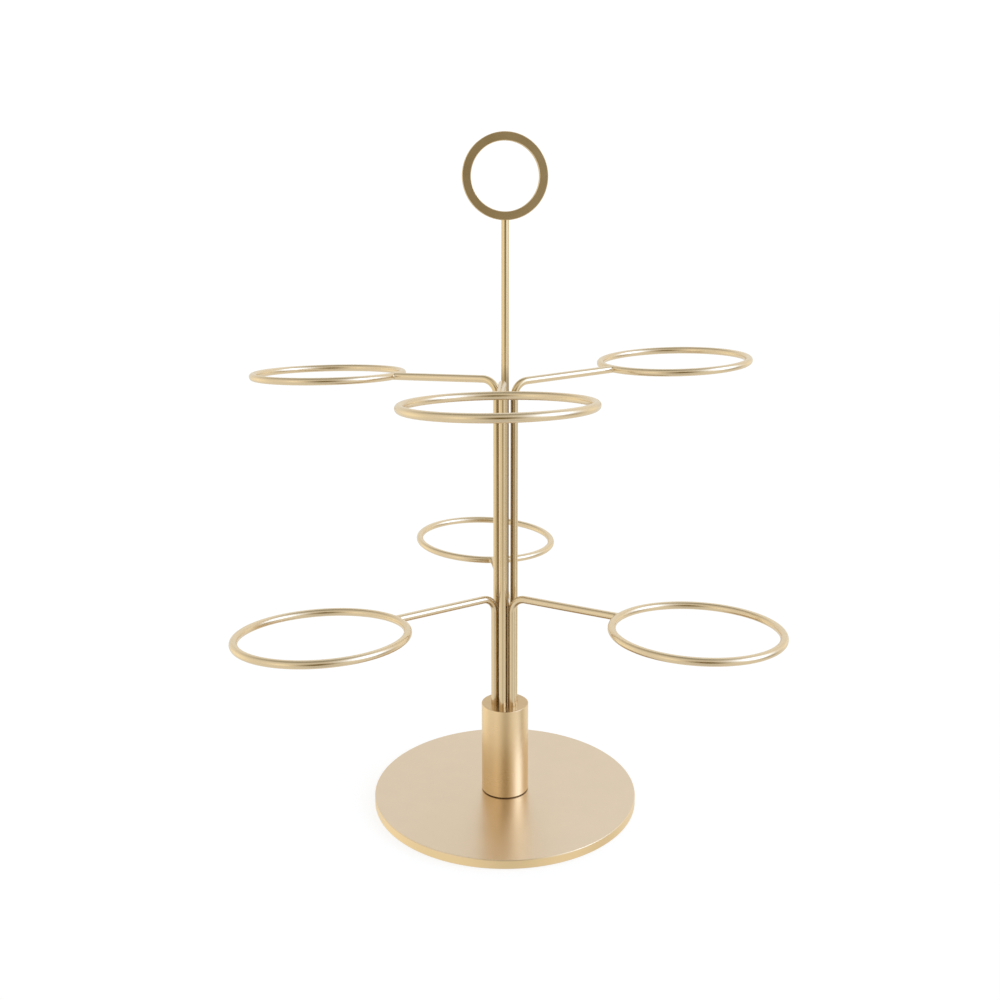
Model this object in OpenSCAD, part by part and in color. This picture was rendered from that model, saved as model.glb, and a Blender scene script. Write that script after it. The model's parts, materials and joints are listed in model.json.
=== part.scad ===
// Tiered stand that carries six small bowls: a round base plate, a solid collar with seven
// sockets, six arms that swivel in the outer sockets and each end in a ring, and a straight
// rod with an upright carrying ring in the middle socket.
//
// +Z is up, the origin is the middle of the face that the stand rests on, and the front
// arm points along -Y. The sockets are numbered 0 to 5 by their direction, and arms at even
// numbers are the upper ones.

/* [Base] */
// Diameter of the base plate
base_d = 180; // [160:1:240]
// Thickness of the base plate
base_t = 6; // [5:0.5:10]
// Chamfer on both edges of the base plate
base_edge = 0.5; // [0.2:0.1:1.5]
// Distance of the anti-slip pad's edge inside the plate's edge
pad_inset = 5; // [2:0.5:20]
// Thickness of the anti-slip pad
pad_t = 1; // [0.5:0.25:3]

/* [Collar] */
// Diameter of the collar
collar_d = 32; // [28:1:45]
// Height of the collar above the plate
collar_h = 63; // [60:1:90]
// Chamfer round the collar's top edge
collar_edge = 0.3; // [0.2:0.1:1.5]
// Height and depth of the groove round the collar's foot
foot_groove = 0.6; // [0.3:0.1:1]

/* [Sockets] */
// Distance from the collar's axis to each arm socket's axis
socket_r = 7; // [6.5:0.25:9]
// Depth of all seven sockets
socket_depth = 40; // [25:1:42]
// Radial clearance between a rod and its socket
socket_gap = 0.05; // [0.02:0.01:0.1]
// Direction of each arm socket from the collar's axis
socket_turns = [31, 79, 141, 192, 258, 314]; // [0:1:360]

/* [Base screw] */
// Thread diameter of the countersunk base screw
screw_d = 6; // [5:1:6]
// Length of the base screw with its head
screw_l = 18; // [14:1:20]
// Diameter of the screw's head
screw_head_d = 12; // [11:0.5:13]
// Width of the screw's hexagon socket across its flats
screw_key = 4; // [3:1:5]

/* [Arms and rings] */
// Diameter of the rod that arms, rings and handle are made of
rod_d = 5; // [4:0.5:5.5]
// Inside diameter of a bowl ring
ring_bore = 99; // [80:1:110]
// Distance from an arm's own swivel axis to the middle of its ring
arm_reach = 130; // [120:1:150]
// Centreline radius of the bend in each arm
bend_r = 10; // [6:0.5:14]
// Height of each arm where its centreline meets its swivel axis, by socket
arm_heights = [291.5, 143.25, 293.25, 146, 292.5, 147.25]; // [120:0.25:340]
// Direction that each arm points in, by socket
arm_turns = [30, 98.5, 157, 218, 270, 331]; // [0:0.5:360]
// Angle that each arm rises outward from level, by socket
arm_rises = [2.75, 1.5, -1.75, 1.25, 3, 0.5]; // [-4:0.25:4]
// Angle that each ring is rolled about its arm, by socket
ring_rolls = [0, 2, 2, 4, 1, -2]; // [-5:1:5]

/* [Handle] */
// Height of the whole stand
overall_h = 450; // [420:1:520]
// Outside diameter of the carrying ring
handle_d = 54.5; // [45:0.5:70]
// Width of the carrying ring's flat band
handle_band = 5.5; // [4:0.5:8]
// Thickness of the carrying ring
handle_t = 4; // [3:0.5:5]
// Chamfer on the carrying ring's edges
handle_edge = 0.4; // [0.2:0.1:1]
// Angle that the carrying ring is turned from facing the front
handle_turn = 9; // [-20:1:20]

/* [Hidden] */
SIDES = ["upper_right", "lower_back", "upper_left", "lower_left", "upper_front", "lower_right"];

$fn = 48;
satin_gold = [0.83, 0.70, 0.48];
pale_gold = [0.87, 0.80, 0.68];
shade_gold = [0.60, 0.49, 0.33];
rod_r = rod_d / 2;
ring_r = ring_bore / 2 + rod_r;
plate_top = pad_t + base_t;
collar_top = plate_top + collar_h;
socket_floor = collar_top - socket_depth;
rod_lead = 0.4;                      // chamfer on the rods' lower ends
weld_bite = 0.8;                     // how far an arm's end stands off its ring's centreline
bend_swell = 0.03;                   // a bend is this much fuller than the rod
bend_sink = 0.3;                     // and each straight length ends this far inside it
head_sink = 0.3;                     // the screw's head lies this far inside the plate
screw_shank_r = screw_d / 2 - 0.05;  // crests of a real thread are a little under size
tapped_depth = screw_l - base_t + 3;
clearance_r = screw_d / 2 + 0.3;
key_depth = 2.2;
handle_z = overall_h - handle_d / 2;
NUDGE = 0.01;

// Moves its children to socket i's axis, with +X along arm i as seen from above.
module at_socket(i) {
    translate([socket_r * cos(socket_turns[i]), socket_r * sin(socket_turns[i]), 0])
        rotate([0, 0, arm_turns[i]])
            children();
}

// Moves its children to the middle of ring i, with +Z along the ring's own axis.
module at_ring(i) {
    at_socket(i)
        translate([0, 0, arm_heights[i]])
            rotate([0, -arm_rises[i], 0])
                translate([arm_reach, 0, 0])
                    rotate([ring_rolls[i], 0, 0])
                        children();
}

// A ring of rod, lying flat.
module rod_ring() {
    rotate_extrude($fn = 96)
        translate([ring_r, 0])
            circle(rod_r);
}

// An upright rod from the socket floor, with a small lead on its lower end.
module upright(top) {
    translate([0, 0, socket_floor])
        cylinder(h = rod_lead, r1 = rod_r - rod_lead, r2 = rod_r);
    translate([0, 0, socket_floor + rod_lead])
        cylinder(h = top - socket_floor - rod_lead, r = rod_r);
}

// A disc on the XY plane with both edges chamfered.
module disc(d, t, edge) {
    rotate_extrude($fn = 160)
        polygon([
            [0, 0], [d / 2 - edge, 0], [d / 2, edge],
            [d / 2, t - edge], [d / 2 - edge, t], [0, t]
        ]);
}

module base_plate() {
    head_r = screw_head_d / 2;
    color(pale_gold)
        difference() {
            translate([0, 0, pad_t])
                disc(base_d, base_t, base_edge);
            translate([0, 0, pad_t - NUDGE])
                cylinder(h = base_t + 2 * NUDGE, r = clearance_r);
            translate([0, 0, pad_t - NUDGE])
                cylinder(h = head_sink + NUDGE, r = head_r);
            translate([0, 0, pad_t + head_sink])
                cylinder(h = head_r - clearance_r, r1 = head_r, r2 = clearance_r);
        }
}

module base_pad() {
    color("dimgray")
        cylinder(h = pad_t, d = base_d - 2 * pad_inset, $fn = 160);
}

module base_screw() {
    head_r = screw_head_d / 2;
    cone_h = head_r - screw_shank_r;
    color("silver")
        translate([0, 0, pad_t + head_sink])
            difference() {
                union() {
                    cylinder(h = cone_h, r1 = head_r, r2 = screw_shank_r);
                    translate([0, 0, cone_h])
                        cylinder(h = screw_l - cone_h, r = screw_shank_r);
                }
                translate([0, 0, -NUDGE])
                    cylinder(h = key_depth, d = screw_key / cos(30), $fn = 6);
            }
}

module collar() {
    wall_r = collar_d / 2;
    color(satin_gold)
        difference() {
            translate([0, 0, plate_top])
                rotate_extrude($fn = 96)
                    polygon([
                        [0, 0], [wall_r - foot_groove, 0], [wall_r - foot_groove, foot_groove],
                        [wall_r, foot_groove], [wall_r, collar_h - collar_edge],
                        [wall_r - collar_edge, collar_h], [0, collar_h]
                    ]);
            translate([0, 0, plate_top - NUDGE])
                cylinder(h = tapped_depth + NUDGE, d = screw_d);
            socket();
            for (i = [0:5])
                at_socket(i)
                    socket();
        }
}

// The hole that a rod stands in, on the Z axis.
module socket() {
    translate([0, 0, socket_floor])
        cylinder(h = socket_depth + 1, r = rod_r + socket_gap);
}

module handle_rod() {
    color(satin_gold)
        difference() {
            upright(handle_z - handle_d / 2 + 1);
            translate([0, 0, handle_z])
                rotate([90, 0, handle_turn])
                    cylinder(h = 2 * rod_d, d = handle_d, center = true, $fn = 128);
        }
}

module handle_ring() {
    outer = handle_d / 2;
    inner = outer - handle_band;
    half = handle_t / 2;
    color(shade_gold)
        translate([0, 0, handle_z])
            rotate([90, 0, handle_turn])
                rotate_extrude($fn = 128)
                    polygon([
                        [inner, handle_edge - half], [inner + handle_edge, -half],
                        [outer - handle_edge, -half], [outer, handle_edge - half],
                        [outer, half - handle_edge], [outer - handle_edge, half],
                        [inner + handle_edge, half], [inner, half - handle_edge]
                    ]);
}

module arm(i) {
    turn = 90 - arm_rises[i];
    tangent = bend_r * tan(turn / 2);
    bend_start = arm_heights[i] - tangent;
    straight_start = tangent - bend_sink;
    straight_end = arm_reach - ring_r - weld_bite;
    color(satin_gold)
        difference() {
            at_socket(i) {
                upright(bend_start + bend_sink);
                translate([bend_r, 0, bend_start])
                    rotate([90, 0, 0])
                        rotate([0, 0, 180 - turn])
                            rotate_extrude(angle = turn)
                                translate([bend_r, 0])
                                    circle(rod_r + bend_swell);
                translate([0, 0, arm_heights[i]])
                    rotate([0, turn, 0])
                        translate([0, 0, straight_start])
                            cylinder(h = straight_end - straight_start, r = rod_r);
            }
            at_ring(i)
                rod_ring();
        }
}

module ring(i) {
    color(satin_gold)
        at_ring(i)
            rod_ring();
}

base_plate();
base_pad();
base_screw();
collar();
handle_rod();
handle_ring();
for (i = [0:5]) {
    arm(i);
    ring(i);
}
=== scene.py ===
"""Tiered cake stand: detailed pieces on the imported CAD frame, materials, studio and camera."""
import json
import math

import bmesh
import bpy
from mathutils import Matrix, Vector


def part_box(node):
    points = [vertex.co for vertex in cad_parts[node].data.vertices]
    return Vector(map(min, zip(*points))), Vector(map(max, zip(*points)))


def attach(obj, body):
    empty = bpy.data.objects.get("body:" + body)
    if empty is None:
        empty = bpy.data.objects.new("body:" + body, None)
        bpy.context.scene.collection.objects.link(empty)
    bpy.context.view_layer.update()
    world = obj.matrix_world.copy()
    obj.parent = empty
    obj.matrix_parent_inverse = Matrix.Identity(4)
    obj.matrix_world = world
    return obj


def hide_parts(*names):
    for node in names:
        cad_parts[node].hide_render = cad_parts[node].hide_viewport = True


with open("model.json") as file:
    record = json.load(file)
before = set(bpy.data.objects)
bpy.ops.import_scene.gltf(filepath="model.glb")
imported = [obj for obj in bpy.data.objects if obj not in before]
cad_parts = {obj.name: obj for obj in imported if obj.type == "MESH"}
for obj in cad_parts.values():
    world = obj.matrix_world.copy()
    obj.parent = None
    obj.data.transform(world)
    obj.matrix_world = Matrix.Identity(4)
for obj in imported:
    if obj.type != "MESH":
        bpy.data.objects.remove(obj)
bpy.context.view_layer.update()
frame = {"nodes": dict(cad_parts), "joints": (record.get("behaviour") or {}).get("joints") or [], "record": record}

# ---------------------------------------------------------------- sizes, in metres
MM = 0.001
ROUND_STEPS = 7            # segments in a rounded edge
SUPPORT = 0.15 * MM        # width of the flat band that keeps shading level beside a rounded edge
SAME_POINT = 0.001 * MM    # vertices closer than this are one
ON_AXIS = 1e-4 * MM        # an outline's point closer to the axis than this lies on it
LATHE_SEGMENTS = 256
COLLAR_SEGMENTS = 192
SOCKET_SEGMENTS = 64
SCREW_SEGMENTS = 48
ROD_SEGMENTS = 40
RING_SEGMENTS = 288
BEND_STEPS = 28
ARM_STEPS = 12             # along an arm's straight length
WELD_STEPS = 8
MIDDLE_ROD_STEPS = 40
SHARP_ANGLE = math.radians(35)

PLATE_EDGE = 0.5 * MM      # radii of the rounded edges
PAD_EDGE = 0.3 * MM
COLLAR_EDGE = 0.3 * MM
FOOT_EDGE = 0.15 * MM
HANDLE_EDGE = 0.4 * MM
FOOT_GROOVE = 0.6 * MM     # height and depth of the groove round the collar's foot

BEND_R = 10 * MM           # centreline radius of an arm's bend
ROD_LEAD = 0.4 * MM        # chamfer on a rod's lower end
WELD_R = 1.1 * MM          # fillet of the weld between an arm and its ring
WELD_GRAIN = 0.2 * MM      # length that each step of the weld counts for in the grain
WELD_SINK = 0.6 * MM       # how far an arm's end goes into its ring
INSET = 0.03 * MM          # keeps a finely stepped ring inside the box of the coarser CAD ring
SOCKET_GAP = 0.05 * MM
SOCKET_MOUTH = 0.2 * MM    # chamfer round each socket's mouth
CUTTER_RISE = 0.5 * MM     # how far a socket's cutter stands above the collar
TOP_FACE = 0.01 * MM       # vertices this close to the collar's top height lie in its top face

HANDLE_TURN = math.radians(9)
HANDLE_BAND = 5.5 * MM
HANDLE_HALF = 2 * MM       # half the carrying ring's thickness
COPE_START = 0.6 * MM      # the middle rod's last round section, below the carrying ring
COPE_SINK = 0.1 * MM       # how far its end goes into the carrying ring
COPE_GRAIN = 1 * MM        # length that its coped end counts for in the grain

SCREW_R = 2.95 * MM
SCREW_HEAD_R = 6 * MM
SCREW_HEAD_SINK = 0.3 * MM
SCREW_HEAD_EDGE = 0.1 * MM
SCREW_KEY = 4 * MM
SCREW_KEY_DEPTH = 2.2 * MM
SCREW_HUB = 0.02 * MM      # radius of the small face in the middle of each end
THREAD_PITCH = 1 * MM
THREAD_DEPTH = 0.6 * THREAD_PITCH
THREAD_START = 0.5 * MM    # from the head's cone to the thread
THREAD_ROWS = 12           # rows of vertices in each turn of the thread
THREAD_FADE = 10           # rows over which the thread runs out
THREAD_LAST = 0.35         # depth of the thread left at the screw's end
CLEARANCE_R = 3.3 * MM
TAPPED_R = 3 * MM
TAPPED_DEPTH = 15 * MM

SHADED_CORNER = -1.0              # stands for a corner's radius, and is its wear value, where shade is painted into the corner
SHADE_BETWEEN_RODS = 0.45             # how dark the painted shade on the rods is where they face each other
FULL_WARM_LIGHT = 0.1               # how far below zero the wear value goes before the painted warm light is full

SIDES = ["upper_right", "lower_back", "upper_left", "lower_left", "upper_front", "lower_right"]
UP = Vector((0, 0, 1))
MOUNTS = {m["name"]: m for m in frame["record"]["mounts"]}
JOINTS = {j["name"]: j for j in frame["joints"]}


def half_width(node):
    """Half a CAD node's size along X, its radius where it is round about Z."""
    low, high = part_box(node)
    return (high.x - low.x) / 2


ROD_R = half_width("handle_rod")
PLATE_LOW, PLATE_HIGH = (corner.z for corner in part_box("base_plate"))
COLLAR_LOW, COLLAR_HIGH = (corner.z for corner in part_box("collar"))
SOCKET_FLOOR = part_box("handle_rod")[0].z
PLATE_R = half_width("base_plate")
COLLAR_R = half_width("collar")
# lengths along a piece's outline from its bore: to the plate's turned edge, where a painted reflection sets in,
# to the start of the collar's top face, and to where that face's painted shade sets in
PLATE_REFLECTION_START = PLATE_R - CLEARANCE_R - PLATE_EDGE
COLLAR_TOP_GRAIN = COLLAR_R - TAPPED_R + COLLAR_HIGH - COLLAR_LOW
COLLAR_TOP_SHADE_START = COLLAR_TOP_GRAIN - 0.4 * MM


# ---------------------------------------------------------------- mesh helpers
def rounded(corners, steps=ROUND_STEPS):
    """A closed outline through corners (r, z, radius), each corner rounded to its radius.

    Each point's third number is its wear and shade value: 1 on a rounded, worn edge, -1 at a corner marked for
    painted shade.
    """
    outline = []
    count = len(corners)
    for i in range(count):
        here = Vector(corners[i][:2])
        radius = corners[i][2]
        before = (Vector(corners[i - 1][:2]) - here).normalized()
        after = (Vector(corners[(i + 1) % count][:2]) - here).normalized()
        if radius <= 0:
            outline.append(Vector((*here, SHADED_CORNER if radius == SHADED_CORNER else 0.0)))
            continue
        half = before.angle(after) / 2
        reach = radius / math.tan(half)
        centre = here + (before + after).normalized() * radius / math.sin(half)
        start, end = here + before * reach, here + after * reach
        outline.append(Vector((*(start + before * SUPPORT), 0.0)))
        for k in range(steps + 1):
            spoke = (start - centre).slerp(end - centre, k / steps).normalized()
            outline.append(Vector((*(centre + spoke * radius), 1.0)))
        outline.append(Vector((*(end + after * SUPPORT), 0.0)))
    return outline


def lathe(outline, segments=LATHE_SEGMENTS):
    """A surface of revolution about Z. Points on the axis become single vertices.

    The grain attribute holds, for each vertex, how far along the outline it lies, and then its
    place round the axis: noise stretched across it draws turning marks.
    """
    bm = bmesh.new()
    grain = bm.verts.layers.float_vector.new("grain")
    wear_and_shade = bm.verts.layers.float.new("wear_and_shade")
    rows, travelled, last = [], 0.0, outline[0]
    for point in outline:
        travelled += (point.xy - last.xy).length
        last = point
        if point.x < ON_AXIS:
            pole = bm.verts.new((0, 0, point.y))
            pole[grain] = (travelled, 0, 0)
            pole[wear_and_shade] = point.z
            rows.append([pole] * segments)
            continue
        row = []
        for k in range(segments):
            turn = math.tau * k / segments
            vertex = bm.verts.new((point.x * math.cos(turn), point.x * math.sin(turn), point.y))
            vertex[grain] = (travelled, point.x * math.cos(turn), point.x * math.sin(turn))
            vertex[wear_and_shade] = point.z
            row.append(vertex)
        rows.append(row)
    for i in range(len(rows)):
        upper, lower = rows[i], rows[(i + 1) % len(rows)]
        for k in range(segments):
            m = (k + 1) % segments
            corners = []
            for vertex in (upper[k], upper[m], lower[m], lower[k]):
                if vertex not in corners:
                    corners.append(vertex)
            if len(corners) > 2:
                bm.faces.new(corners)
    bmesh.ops.recalc_face_normals(bm, faces=bm.faces)
    return bm


def sweep(stations, closed=False):
    """A tube through stations (centre, across, over, section, length along).

    across and over are the section's unit axes, and section gives a point's distance from the
    centre and its shift, for its angle. The grain attribute is the place of each vertex on a
    straightened rod: noise stretched along its Z draws lengthwise marks.
    """
    bm = bmesh.new()
    grain = bm.verts.layers.float_vector.new("grain")
    bm.verts.layers.float.new("wear_and_shade")
    rows = []
    for centre, across, over, section, along in stations:
        row = []
        for k in range(ROD_SEGMENTS):
            turn = math.tau * k / ROD_SEGMENTS
            side, rise = math.cos(turn), math.sin(turn)
            reach, shift = section(turn)
            vertex = bm.verts.new(centre + (across * side + over * rise) * reach + shift)
            vertex[grain] = (ROD_R * side, ROD_R * rise, along)
            row.append(vertex)
        rows.append(row)
    last = len(rows) if closed else len(rows) - 1
    for i in range(last):
        lower, upper = rows[i], rows[(i + 1) % len(rows)]
        for k in range(ROD_SEGMENTS):
            m = (k + 1) % ROD_SEGMENTS
            bm.faces.new((lower[k], lower[m], upper[m], upper[k]))
    if not closed:
        bm.faces.new(list(reversed(rows[0])))
        bm.faces.new(rows[-1])
    bmesh.ops.recalc_face_normals(bm, faces=bm.faces)
    return bm


def piece(name, bm, material, body, node):
    """Turns bm into the shown piece that stands for a CAD node and moves with its body."""
    bmesh.ops.remove_doubles(bm, verts=bm.verts, dist=SAME_POINT)
    bmesh.ops.dissolve_degenerate(bm, edges=bm.edges, dist=SAME_POINT)
    mesh = bpy.data.meshes.new(name)
    bm.to_mesh(mesh)
    bm.free()
    mesh.polygons.foreach_set("use_smooth", [True] * len(mesh.polygons))
    mesh.set_sharp_from_angle(angle=SHARP_ANGLE)
    mesh.materials.append(material)
    obj = bpy.data.objects.new(name, mesh)
    bpy.context.scene.collection.objects.link(obj)
    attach(obj, body)
    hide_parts(node)
    return obj


# ---------------------------------------------------------------- materials
def add_node(tree, kind, **settings):
    """A new shader node with its properties set."""
    node = tree.nodes.new(kind)
    for name, value in settings.items():
        setattr(node, name, value)
    return node


NOISE_OFFSET = (13.7, 5.3, 8.9)    # keeps the noise's own lattice planes off the object's axes
NOISE_RANGE = (0.3, 0.7)           # where most of a noise's values lie
CLOUDS = (55, 55, 55)              # stretch of the soft variation over a whole piece
CLOUD_DARK, CLOUD_LIGHT = 0.98, 1.012
# colour of the painted shade in the collar's foot groove, in its sockets and between the rods
PAINTED_SHADE = (0.14, 0.085, 0.035)
WARM_LIGHT_TINT = (0.98, 0.945, 0.83)         # what the full painted warm light lets through
FULL_PAINTED_SHADE = -0.9                  # wear value at which only the painted shade shows
WORN_GAIN, WORN_LIFT = 1.1, 0.02   # how much brighter a worn edge is
MARK_SHARE, CLOUD_SHARE = 0.6, 0.4     # what marks and clouds add to the roughness
ROUGHNESS_SPREAD = 0.06
MARK_HEIGHT = 0.01 * MM            # depth of the brushed marks
PEBBLES = (1400, 1400, 1400)       # stretch of the rubber's fine grain
PEBBLE_HEIGHT = 0.1 * MM
BLEND = 0.3 * MM                   # width over which one colour goes to the next along an outline
ACROSS_MARKS = 0.25                # turn of the shader's anisotropy that suits turning marks


def noise(tree, vector, stretch, detail=3.0):
    """Noise over a vector whose axes are scaled by stretch, in cycles a metre."""
    scaled = add_node(tree, "ShaderNodeVectorMath", operation="MULTIPLY_ADD")
    scaled.inputs[1].default_value = stretch
    scaled.inputs[2].default_value = NOISE_OFFSET
    tree.links.new(vector, scaled.inputs[0])
    texture = add_node(tree, "ShaderNodeTexNoise", noise_dimensions="3D")
    texture.inputs["Scale"].default_value = 1.0
    texture.inputs["Detail"].default_value = detail
    texture.inputs["Roughness"].default_value = 0.6
    tree.links.new(scaled.outputs[0], texture.inputs["Vector"])
    return texture.outputs["Fac"]


def remap(tree, value, low, high, source=NOISE_RANGE):
    """value, scaled so that source's two ends become low and high, and kept between them."""
    node = add_node(tree, "ShaderNodeMapRange")
    node.inputs["From Min"].default_value, node.inputs["From Max"].default_value = source
    node.inputs["To Min"].default_value, node.inputs["To Max"].default_value = low, high
    tree.links.new(value, node.inputs["Value"])
    return node.outputs["Result"]


def tint(tree, amount, base, other, blend="MIX"):
    """base where amount is 0, going to other where it is 1."""
    node = add_node(tree, "ShaderNodeMix", data_type="RGBA", blend_type=blend)
    tree.links.new(amount, node.inputs["Factor"])
    node.inputs[6].default_value = (*base, 1)
    node.inputs[7].default_value = (*other, 1)
    return node


def satin_metal(name, colour, roughness, stretch, bump=0.25, blasted=False, painted_band=None, turned=0.0):
    """Coated metal with fine brushed marks: stretch sets their size along the grain attribute.

    A blasted surface has an even grain instead. The painted band is a distance along the outline and the
    colour painted beyond it, which paints a reflection on the plate's edge and shade on the collar's top.
    turned is how far fine turning marks draw out reflections.
    """
    material = bpy.data.materials.new(name)
    material.use_nodes = True
    tree = material.node_tree
    shader = tree.nodes["Principled BSDF"]
    shader.inputs["Metallic"].default_value = 1.0
    shader.inputs["Anisotropic"].default_value = turned
    shader.inputs["Anisotropic Rotation"].default_value = ACROSS_MARKS
    grain = add_node(tree, "ShaderNodeAttribute", attribute_name="grain").outputs["Vector"]
    place = add_node(tree, "ShaderNodeTexCoord").outputs["Object"]

    marks = noise(tree, place if blasted else grain, stretch, detail=4.0)
    cloud = noise(tree, place, CLOUDS, detail=2.0)
    dark = tuple(c * CLOUD_DARK for c in colour)
    light = tuple(min(1, c * CLOUD_LIGHT) for c in colour)
    shade = tint(tree, remap(tree, cloud, 0.0, 1.0), dark, light)
    # painted band: colour painted beyond a distance along the outline in place of light or shade
    if painted_band:
        start, painted_colour = painted_band
        travelled = add_node(tree, "ShaderNodeSeparateXYZ")
        tree.links.new(grain, travelled.inputs[0])
        beyond = remap(tree, travelled.outputs[0], 0.0, 1.0, source=(start, start + BLEND))
        banded = tint(tree, beyond, colour, painted_colour)
        tree.links.new(shade.outputs[2], banded.inputs[6])
        shade = banded

    # wear and shade value: above zero it lightens worn edges, below zero it paints warm light and then shade
    wear_and_shade = add_node(tree, "ShaderNodeAttribute", attribute_name="wear_and_shade").outputs["Fac"]
    scuffed = add_node(tree, "ShaderNodeMath", operation="MULTIPLY")
    tree.links.new(wear_and_shade, scuffed.inputs[0])
    tree.links.new(remap(tree, cloud, 0.2, 0.7), scuffed.inputs[1])
    worn = tint(tree, scuffed.outputs[0], colour,
                tuple(min(1, c * WORN_GAIN + WORN_LIFT) for c in colour))
    tree.links.new(shade.outputs[2], worn.inputs[6])
    # painted warm light, where the wear value is just below zero
    warm_lit = tint(tree, remap(tree, wear_and_shade, 0.0, 1.0, source=(0.0, -FULL_WARM_LIGHT)), colour, WARM_LIGHT_TINT,
                blend="MULTIPLY")
    tree.links.new(worn.outputs[2], warm_lit.inputs[6])
    # painted shade, full where the value is lowest
    shaded = tint(tree, remap(tree, wear_and_shade, 0.0, 1.0, source=(-FULL_WARM_LIGHT, FULL_PAINTED_SHADE)), colour, PAINTED_SHADE)
    tree.links.new(warm_lit.outputs[2], shaded.inputs[6])
    tree.links.new(shaded.outputs[2], shader.inputs["Base Color"])

    mixed = add_node(tree, "ShaderNodeMath", operation="MULTIPLY_ADD")
    tree.links.new(marks, mixed.inputs[0])
    mixed.inputs[1].default_value = MARK_SHARE
    tree.links.new(remap(tree, cloud, 0.0, CLOUD_SHARE), mixed.inputs[2])
    smooth, coarse = roughness * (1 - ROUGHNESS_SPREAD), roughness * (1 + ROUGHNESS_SPREAD)
    tree.links.new(remap(tree, mixed.outputs[0], smooth, coarse), shader.inputs["Roughness"])

    relief = add_node(tree, "ShaderNodeBump")
    relief.inputs["Strength"].default_value = bump
    relief.inputs["Distance"].default_value = MARK_HEIGHT
    tree.links.new(marks, relief.inputs["Height"])
    tree.links.new(relief.outputs["Normal"], shader.inputs["Normal"])
    return material


def rubber(name, colour):
    """Matt rubber with a fine pebbled grain."""
    material = bpy.data.materials.new(name)
    material.use_nodes = True
    tree = material.node_tree
    shader = tree.nodes["Principled BSDF"]
    place = add_node(tree, "ShaderNodeTexCoord").outputs["Object"]
    pebble = noise(tree, place, PEBBLES)
    shade = tint(tree, remap(tree, pebble, 0.0, 1.0), colour, tuple(c * 1.5 for c in colour))
    tree.links.new(shade.outputs[2], shader.inputs["Base Color"])
    tree.links.new(remap(tree, pebble, 0.65, 0.85), shader.inputs["Roughness"])
    relief = add_node(tree, "ShaderNodeBump")
    relief.inputs["Strength"].default_value = 0.6
    relief.inputs["Distance"].default_value = PEBBLE_HEIGHT
    tree.links.new(pebble, relief.inputs["Height"])
    tree.links.new(relief.outputs["Normal"], shader.inputs["Normal"])
    return material


# the plate's edge and underside take a deeper gold: painted reflection of warm light
PLATE_GOLD = satin_metal("plate_gold", (0.765, 0.625, 0.46), 0.30, (1800, 1800, 1800), bump=0.1,
                         blasted=True, painted_band=(PLATE_REFLECTION_START, (0.94, 0.72, 0.42)))
# the collar's top face is darker: painted shade from the rods
COLLAR_GOLD = satin_metal("collar_gold", (0.88, 0.67, 0.41), 0.26, (9000, 80, 80), turned=0.8,
                          painted_band=(COLLAR_TOP_SHADE_START, (0.66, 0.485, 0.28)))
ROD_GOLD = satin_metal("rod_gold", (0.81, 0.66, 0.447), 0.24, (2500, 2500, 60), bump=0.12)
HANDLE_GOLD = satin_metal("handle_gold", (0.73, 0.56, 0.325), 0.30, (6000, 80, 80))
SCREW_STEEL = satin_metal("screw_steel", (0.55, 0.55, 0.54), 0.30, (5000, 80, 80))
PAD_RUBBER = rubber("pad_rubber", (0.05, 0.047, 0.044))


# ---------------------------------------------------------------- base, collar and screw
def base_plate():
    """The plate, with the clearance hole and sunk head seat of its screw."""
    sink = PLATE_LOW + SCREW_HEAD_SINK
    return lathe(rounded([
        (CLEARANCE_R, PLATE_HIGH, 0),
        (PLATE_R, PLATE_HIGH, PLATE_EDGE), (PLATE_R, PLATE_LOW, PLATE_EDGE),
        (SCREW_HEAD_R, PLATE_LOW, 0), (SCREW_HEAD_R, sink, 0),
        (CLEARANCE_R, sink + SCREW_HEAD_R - CLEARANCE_R, 0),
    ]))


def base_pad():
    """The thin pad under the plate."""
    low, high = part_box("base_pad")
    return lathe(rounded([
        (0, high.z, 0), (high.x, high.z, PAD_EDGE), (high.x, low.z, PAD_EDGE), (0, low.z, 0),
    ]))


def working_object(name, bm):
    """A helper object in the scene, which collar() removes again."""
    mesh = bpy.data.meshes.new(name)
    bm.to_mesh(mesh)
    bm.free()
    obj = bpy.data.objects.new(name, mesh)
    bpy.context.scene.collection.objects.link(obj)
    return obj


def socket_cutter(name, x, y):
    """One socket: a straight bore with a small chamfer at its mouth."""
    bore = ROD_R + SOCKET_GAP
    # the bore is marked for painted shade down the socket
    cutter = lathe([
        Vector((0, COLLAR_HIGH + CUTTER_RISE, 0)),
        Vector((bore + SOCKET_MOUTH + CUTTER_RISE, COLLAR_HIGH + CUTTER_RISE, 0)),
        Vector((bore, COLLAR_HIGH - SOCKET_MOUTH, SHADED_CORNER)), Vector((bore, SOCKET_FLOOR, SHADED_CORNER)),
        Vector((0, SOCKET_FLOOR, SHADED_CORNER)),
    ], SOCKET_SEGMENTS)
    bmesh.ops.translate(cutter, verts=cutter.verts, vec=Vector((x, y, 0)))
    return working_object(name, cutter)


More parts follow.
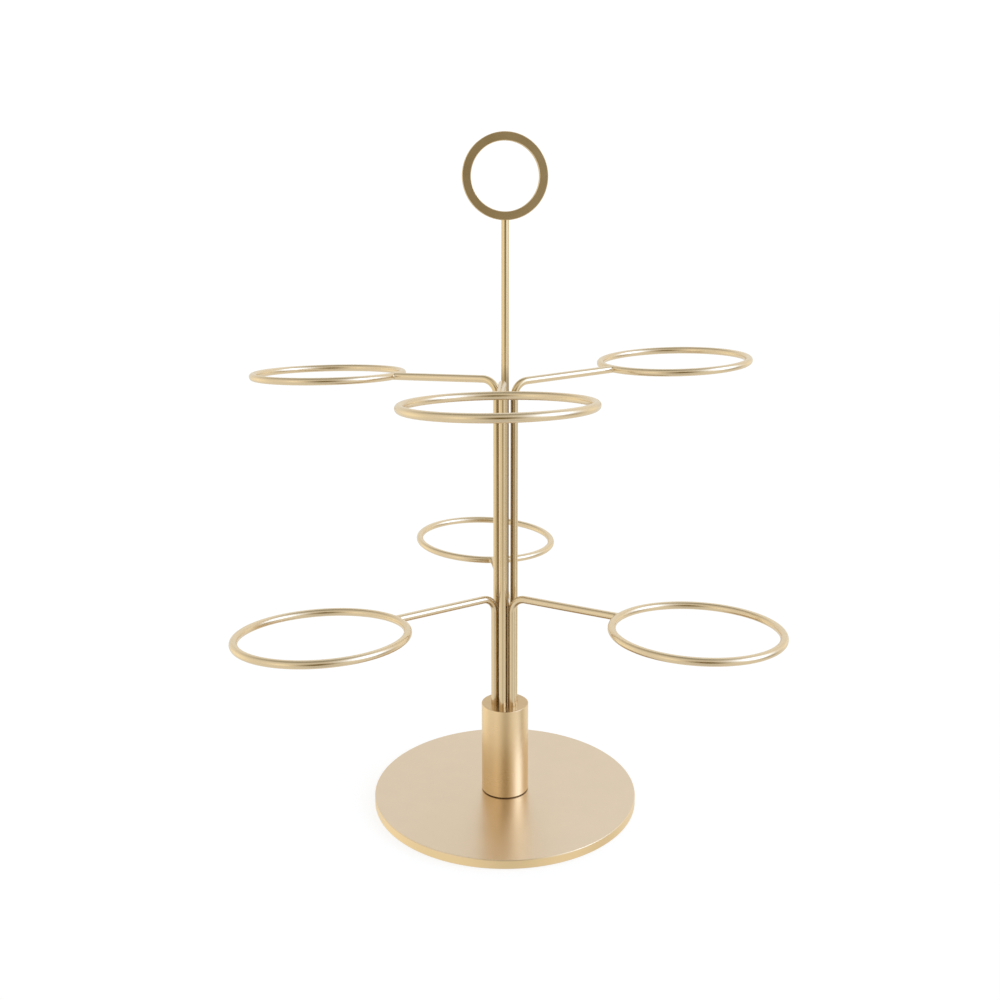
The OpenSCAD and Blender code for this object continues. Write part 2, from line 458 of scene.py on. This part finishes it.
def collar():
    """The turned collar, with its tapped hole below and the seven sockets cut into its top.

    The cut leaves the top face's new vertices without a grain, so that is written again.
    """
    # the groove round the foot is marked for painted shade
    body = lathe(rounded([
        (TAPPED_R, COLLAR_LOW, 0), (COLLAR_R - FOOT_GROOVE, COLLAR_LOW, SHADED_CORNER),
        (COLLAR_R - FOOT_GROOVE, COLLAR_LOW + FOOT_GROOVE, SHADED_CORNER),
        (COLLAR_R, COLLAR_LOW + FOOT_GROOVE, FOOT_EDGE), (COLLAR_R, COLLAR_HIGH, COLLAR_EDGE),
        (0, COLLAR_HIGH, 0), (0, COLLAR_LOW + TAPPED_DEPTH, 0),
        (TAPPED_R, COLLAR_LOW + TAPPED_DEPTH, 0),
    ]), COLLAR_SEGMENTS)
    solid = working_object("collar_body", body)
    objects = [solid, socket_cutter("handle_socket", 0, 0)]
    for side in SIDES:
        x, y, _ = JOINTS[side + "_swivel"]["pos_m"]
        objects.append(socket_cutter(side + "_socket", x, y))
    for cutter in objects[1:]:
        cut = solid.modifiers.new(cutter.name, "BOOLEAN")
        cut.operation = "DIFFERENCE"
        cut.solver = "EXACT"
        cut.object = cutter
    bpy.context.view_layer.update()
    depsgraph = bpy.context.evaluated_depsgraph_get()
    result = bmesh.new()
    result.from_mesh(solid.evaluated_get(depsgraph).to_mesh())
    grain = result.verts.layers.float_vector["grain"]
    for vertex in result.verts:
        if vertex.co.z > COLLAR_HIGH - TOP_FACE:
            inside = COLLAR_R - vertex.co.xy.length
            vertex[grain] = (COLLAR_TOP_GRAIN + inside, vertex.co.x, vertex.co.y)
    bmesh.ops.remove_doubles(result, verts=result.verts, dist=SAME_POINT)
    many_sided = [face for face in result.faces if len(face.verts) > 4]
    bmesh.ops.triangulate(result, faces=many_sided, ngon_method="BEAUTY")
    for obj in objects:
        bpy.data.objects.remove(obj)
    return result


# ---------------------------------------------------------------- rods, rings and handle
def plain_section(radius):
    """A round section with no shift."""
    return lambda turn: (radius, Vector())


def rod_foot(across, over, x, y):
    """The stations of an upright rod's chamfered foot on its socket's floor."""
    foot = Vector((x, y, SOCKET_FLOOR))
    shoulder = foot + UP * ROD_LEAD
    return [
        (foot, across, over, plain_section(ROD_R - ROD_LEAD), 0.0),
        (shoulder, across, over, plain_section(ROD_R), ROD_LEAD),
        (shoulder + UP * SUPPORT, across, over, plain_section(ROD_R), ROD_LEAD + SUPPORT),
    ]


def paint_shade_between_rods(bm, x, y, top):
    """Paints shade onto an upright rod at (x, y), up to the height top, where it faces its neighbours.

    Above the lower arms it also gets painted warm light all round, which fades out over the bend.
    """
    wear_and_shade = bm.verts.layers.float["wear_and_shade"]
    axis = Vector((x, y))
    lower_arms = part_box("lower_back_arm")[1].z
    for vertex in bm.verts:
        outward = vertex.co.xy - axis
        past_bend = (outward.length - ROD_R) / BEND_R
        risen = (vertex.co.z - lower_arms) / BEND_R
        # painted warm light on the uprights above the lower arms, in place of the warmer light on the column
        warm_light = FULL_WARM_LIGHT * min(1.0, max(0.0, 1 - past_bend)) * min(1.0, max(0.0, risen))
        inward = 0.0
        # painted shade on the side of the rod that faces its neighbours
        if vertex.co.z <= top:
            inward = -outward.normalized().dot(axis.normalized()) if axis.length else 1.0
        vertex[wear_and_shade] = -max(warm_light, SHADE_BETWEEN_RODS * inward)


def ring_frame(side):
    """A ring's middle and axis, its arm's direction and rise, and the arm's reach to the middle.

    The reach is measured from where the arm's centreline meets its swivel axis.
    """
    seat = MOUNTS[side + "_bowl_seat"]
    centre, axis = Vector(seat["pos_m"]), Vector(seat["axis"]).normalized()
    x, y, _ = JOINTS[side + "_swivel"]["pos_m"]
    out = Vector((centre.x - x, centre.y - y, 0))
    level = out.normalized()
    roll = -math.asin(axis.dot(Vector((-level.y, level.x, 0))))
    rise = -math.asin(axis.dot(level) / math.cos(roll))
    along = level * math.cos(rise) + UP * math.sin(rise)
    reach = out.length / math.cos(rise)
    return centre, axis, along, rise, reach


def ring_radius(side):
    """Radius of a ring's centreline."""
    centre = ring_frame(side)[0]
    vertices = frame["nodes"][side + "_ring"].data.vertices
    return max((v.co - centre).length for v in vertices) - ROD_R


def ring(side):
    """A closed ring of rod round its bowl seat."""
    centre, axis, along, _, _ = ring_frame(side)
    radius = ring_radius(side) - INSET
    sideways = axis.cross(along)
    stations = []
    for k in range(RING_SEGMENTS):
        turn = math.tau * k / RING_SEGMENTS
        out = along * math.cos(turn) + sideways * math.sin(turn)
        stations.append((centre + out * radius, out, axis, plain_section(ROD_R), radius * turn))
    return sweep(stations, closed=True)


def weld_section(side, start, across, over, along, flare):
    """A section of the weld: each point slides along the arm towards the ring's surface.

    flare goes from 0, where the weld leaves the arm, to a right angle, where it meets the ring.
    """
    centre, axis, _, _, _ = ring_frame(side)
    radius = ring_radius(side)

    def section(turn):
        spread = math.cos(turn) ** 2
        grow = WELD_R * spread
        reach = ROD_R + grow * (1 - math.cos(flare))
        direction = across * math.cos(turn) + over * math.sin(turn)
        point = start + direction * reach - centre
        height = point.dot(axis)
        wide = point - axis * height
        depth = math.sqrt(max(0.0, ROD_R ** 2 - height ** 2))
        wide_along = wide.dot(along)
        wide_across = (wide - along * wide_along).length
        touch = -math.sqrt((radius + depth) ** 2 - wide_across ** 2)
        stand_off = grow * (1 - math.sin(flare))
        return reach, along * (touch - wide_along - stand_off)

    return section


def arm(side):
    """An arm: chamfered foot, upright, bend, straight length and the weld to its ring."""
    centre, _, along, rise, reach = ring_frame(side)
    x, y, _ = JOINTS[side + "_swivel"]["pos_m"]
    corner = centre - along * reach
    turn = math.pi / 2 - rise
    tangent = BEND_R * math.tan(turn / 2)
    level = Vector((along.x, along.y, 0)).normalized()
    across = Vector((-level.y, level.x, 0))

    stations = rod_foot(across, -level, x, y)
    start = Vector((x, y, corner.z - tangent))
    travelled = start.z - SOCKET_FLOOR
    hub = start + level * BEND_R
    for k in range(BEND_STEPS + 1):
        angle = turn * k / BEND_STEPS
        over = -level * math.cos(angle) + UP * math.sin(angle)
        here = hub + over * BEND_R
        stations.append((here, across, over, plain_section(ROD_R), travelled + BEND_R * angle))
    travelled += BEND_R * turn
    over = stations[-1][2]
    end = reach - ring_radius(side) - ROD_R - WELD_R
    for k in range(1, ARM_STEPS + 1):
        distance = tangent + (end - tangent) * k / ARM_STEPS
        here = corner + along * distance
        stations.append((here, across, over, plain_section(ROD_R), travelled + distance - tangent))
    here = stations[-1][0]
    for k in range(WELD_STEPS + 1):
        section = weld_section(side, here, across, over, along, math.pi / 2 * k / WELD_STEPS)
        grain_along = travelled + end - tangent + WELD_GRAIN * (k + 1)
        stations.append((here, across, over, section, grain_along))

    def sunk(turn_):
        out, shift = section(turn_)
        return out, shift + along * WELD_SINK

    stations.append((here, across, over, sunk, travelled + end))
    bm = sweep(stations)
    paint_shade_between_rods(bm, x, y, start.z)
    return bm


def handle_rod():
    """The middle rod, its top end coped to the carrying ring."""
    low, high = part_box("handle_ring")
    outer = (high.z - low.z) / 2
    middle = (high.z + low.z) / 2
    across, over = Vector((1, 0, 0)), Vector((0, 1, 0))
    facing = Vector((math.cos(HANDLE_TURN), math.sin(HANDLE_TURN), 0))
    stations = rod_foot(across, over, 0, 0)
    top = middle - outer - COPE_START
    for k in range(1, MIDDLE_ROD_STEPS + 1):
        z = SOCKET_FLOOR + (top - SOCKET_FLOOR) * k / MIDDLE_ROD_STEPS
        stations.append((Vector((0, 0, z)), across, over, plain_section(ROD_R), z - SOCKET_FLOOR))

    def coped(turn):
        offset = (across * math.cos(turn) + over * math.sin(turn)).dot(facing) * ROD_R
        return ROD_R, UP * (middle - math.sqrt(outer ** 2 - offset ** 2) + COPE_SINK - top)

    stations.append((Vector((0, 0, top)), across, over, coped, top - SOCKET_FLOOR + COPE_GRAIN))
    bm = sweep(stations)
    paint_shade_between_rods(bm, 0, 0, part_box("upper_front_arm")[1].z)
    return bm


def handle_ring():
    """The flat carrying ring, turned about Z and then stood up at the top of the middle rod."""
    low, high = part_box("handle_ring")
    outer = (high.z - low.z) / 2
    inner = outer - HANDLE_BAND
    bm = lathe(rounded([
        (inner, HANDLE_HALF, HANDLE_EDGE), (outer, HANDLE_HALF, HANDLE_EDGE),
        (outer, -HANDLE_HALF, HANDLE_EDGE), (inner, -HANDLE_HALF, HANDLE_EDGE),
    ]))
    stand_up = Matrix.Rotation(HANDLE_TURN, 4, "Z") @ Matrix.Rotation(math.pi / 2, 4, "X")
    place = Matrix.Translation((0, 0, (high.z + low.z) / 2)) @ stand_up
    bmesh.ops.transform(bm, matrix=place, verts=bm.verts)
    return bm


def base_screw():
    """A countersunk screw with a real thread and a hexagon socket."""
    low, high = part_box("base_screw")
    cone = SCREW_HEAD_R - SCREW_R
    thread_low = low.z + cone + THREAD_START
    bm = bmesh.new()
    grain = bm.verts.layers.float_vector.new("grain")
    rows = []

    def add_row(z, radius_at):
        row = []
        for k in range(SCREW_SEGMENTS):
            turn = math.tau * k / SCREW_SEGMENTS
            radius = radius_at(turn)
            vertex = bm.verts.new((radius * math.cos(turn), radius * math.sin(turn), z))
            vertex[grain] = (z, radius * math.cos(turn), radius * math.sin(turn))
            row.append(vertex)
        rows.append(row)

    def key_radius(turn):
        sector = (turn % (math.pi / 3)) - math.pi / 6
        return SCREW_KEY / 2 / math.cos(sector)

    add_row(low.z + SCREW_KEY_DEPTH, lambda turn: SCREW_HUB)
    add_row(low.z + SCREW_KEY_DEPTH, key_radius)
    add_row(low.z, key_radius)
    add_row(low.z, lambda turn: SCREW_HEAD_R - SCREW_HEAD_EDGE)
    add_row(low.z + SCREW_HEAD_EDGE, lambda turn: SCREW_HEAD_R - SCREW_HEAD_EDGE)
    add_row(low.z + cone, lambda turn: SCREW_R)
    steps = round((high.z - thread_low) / THREAD_PITCH * THREAD_ROWS)
    for k in range(steps + 1):
        z = thread_low + (high.z - thread_low) * k / steps
        fade = min(1.0, k / THREAD_FADE, (steps - k) / THREAD_FADE + THREAD_LAST)

        def thread(turn, z=z, fade=fade):
            phase = (z / THREAD_PITCH - turn / math.tau) % 1
            return SCREW_R - THREAD_DEPTH * abs(2 * phase - 1) * fade

        add_row(z, thread)
    add_row(high.z, lambda turn: SCREW_HUB)
    for lower, upper in zip(rows, rows[1:]):
        for k in range(SCREW_SEGMENTS):
            m = (k + 1) % SCREW_SEGMENTS
            bm.faces.new((lower[k], lower[m], upper[m], upper[k]))
    bm.faces.new(rows[-1])
    bm.faces.new(list(reversed(rows[0])))
    bmesh.ops.recalc_face_normals(bm, faces=bm.faces)
    return bm


# ---------------------------------------------------------------- the pieces
piece("plate", base_plate(), PLATE_GOLD, "stand", "base_plate")
piece("pad", base_pad(), PAD_RUBBER, "stand", "base_pad")
piece("screw", base_screw(), SCREW_STEEL, "stand", "base_screw")
piece("collar_with_sockets", collar(), COLLAR_GOLD, "stand", "collar")
piece("middle_rod", handle_rod(), ROD_GOLD, "stand", "handle_rod")
piece("carrying_ring", handle_ring(), HANDLE_GOLD, "stand", "handle_ring")
for side in SIDES:
    piece(side + "_bent_arm", arm(side), ROD_GOLD, side, side + "_arm")
    piece(side + "_bowl_ring", ring(side), ROD_GOLD, side, side + "_ring")


# ---------------------------------------------------------------- studio
def glowing(name, strength, albedo=0.0):
    """A white surface that gives off light, and also shows soft shadows where albedo is over 0."""
    material = bpy.data.materials.new(name)
    material.use_nodes = True
    shader = material.node_tree.nodes["Principled BSDF"]
    shader.inputs["Base Color"].default_value = (albedo, albedo, albedo, 1)
    shader.inputs["Roughness"].default_value = 1.0
    shader.inputs["Specular IOR Level"].default_value = 0.0
    shader.inputs["Emission Color"].default_value = (1, 1, 1, 1)
    shader.inputs["Emission Strength"].default_value = strength
    material.cycles.emission_sampling = "NONE"
    return material


def stage_mesh(name, bm, material):
    """A part of the studio, which is no piece of the object."""
    mesh = bpy.data.meshes.new(name)
    bm.to_mesh(mesh)
    bm.free()
    mesh.materials.append(material)
    obj = bpy.data.objects.new(name, mesh)
    bpy.context.scene.collection.objects.link(obj)
    return obj


FLOOR_R = 6
FLOOR_GLOW, FLOOR_ALBEDO = 0.82, 0.25
DOME_R = 8
DOME_GLOW = 1.05


def floor_and_backdrop():
    """A white floor that shows soft shadows, under a white dome that only the camera sees.

    The metal reflects neither of them, only the studio's lights.
    """
    bm = bmesh.new()
    bmesh.ops.create_circle(bm, cap_ends=True, segments=96, radius=FLOOR_R)
    floor = stage_mesh("floor", bm, glowing("floor_white", FLOOR_GLOW, FLOOR_ALBEDO))
    floor.visible_glossy = False
    bm = bmesh.new()
    bmesh.ops.create_icosphere(bm, subdivisions=4, radius=DOME_R)
    dome = stage_mesh("backdrop", bm, glowing("backdrop_white", DOME_GLOW))
    dome.visible_glossy = False
    dome.visible_diffuse = False
    dome.visible_shadow = False
    dome.visible_transmission = False


# Each soft light (above 0) or dark flag (below 0) of the studio: azimuth from the camera's side
# towards the right, elevation, angle at which it has faded to a half, and radiance that it adds.
BASE_LIGHT = (0.87, 0.855, 0.80)
SOFT_LIGHTS = [
    (72, 24, 19, (1.30, 1.98, 3.55)),       # large cool softbox on the right
    (-40, 5, 12, (0.42, 0.36, 0.24)),       # strip light at the left front
    (-110, -5, 19, (0.32, 0.27, 0.14)),     # warm wall on the left
    (130, 0, 12, (0.22, 0.18, 0.08)),       # strip light at the right back
    (175, 50, 18, (0.25, 0.32, 0.45)),      # top light at the back
    (5, 5, 20, (-0.84, -0.88, -0.93)),      # the dark room behind the camera
    (90, -10, 14, (-0.50, -0.55, -0.62)),   # gap beside the table on the right
    (-120, 50, 20, (-0.30, -0.30, -0.30)),  # dark upper left wall
    (10, -60, 17, (-0.30, -0.27, -0.20)),   # shaded table edge at the front
    (0, 90, 28, (-0.55, -0.55, -0.55)),     # dark ceiling
]


def studio_light():
    """Adds up the soft lights over every direction of the world."""
    world = bpy.data.worlds.new("studio")
    bpy.context.scene.world = world
    world.use_nodes = True
    tree = world.node_tree
    background = tree.nodes["Background"]
    direction = add_node(tree, "ShaderNodeTexCoord").outputs["Generated"]
    total = None
    for azimuth, elevation, spread, radiance in SOFT_LIGHTS:
        a, e = math.radians(azimuth), math.radians(elevation)
        towards = (math.sin(a) * math.cos(e), -math.cos(a) * math.cos(e), math.sin(e))
        dot = add_node(tree, "ShaderNodeVectorMath", operation="DOT_PRODUCT")
        tree.links.new(direction, dot.inputs[0])
        dot.inputs[1].default_value = towards
        clipped = add_node(tree, "ShaderNodeMath", operation="MAXIMUM")
        tree.links.new(dot.outputs["Value"], clipped.inputs[0])
        clipped.inputs[1].default_value = 0.0
        lobe = add_node(tree, "ShaderNodeMath", operation="POWER")
        tree.links.new(clipped.outputs[0], lobe.inputs[0])
        lobe.inputs[1].default_value = math.log(0.5) / math.log(math.cos(math.radians(spread)))
        added = add_node(tree, "ShaderNodeVectorMath", operation="MULTIPLY_ADD")
        tree.links.new(lobe.outputs[0], added.inputs[0])
        added.inputs[1].default_value = radiance
        if total is None:
            added.inputs[2].default_value = BASE_LIGHT
        else:
            tree.links.new(total, added.inputs[2])
        total = added.outputs[0]
    tree.links.new(total, background.inputs["Color"])


floor_and_backdrop()
studio_light()
bpy.context.scene.view_settings.view_transform = "Standard"


# ---------------------------------------------------------------- camera
CAMERA_PLACE = (0.01228, -0.70841, 0.39515)
CAMERA_PITCH = math.radians(-10.606)
CAMERA_YAW = math.radians(1.0988)
LENS, SENSOR = 39.62, 36                # in millimetres
SHIFT = (-0.00305, -0.0731)


def camera():
    """The camera at the photograph's viewing angle."""
    data = bpy.data.cameras.new("camera")
    data.lens = LENS
    data.sensor_width = SENSOR
    data.shift_x, data.shift_y = SHIFT
    obj = bpy.data.objects.new("camera", data)
    bpy.context.scene.collection.objects.link(obj)
    obj.location = CAMERA_PLACE
    obj.rotation_euler = (math.pi / 2 + CAMERA_PITCH, 0, CAMERA_YAW)
    bpy.context.scene.camera = obj


camera()
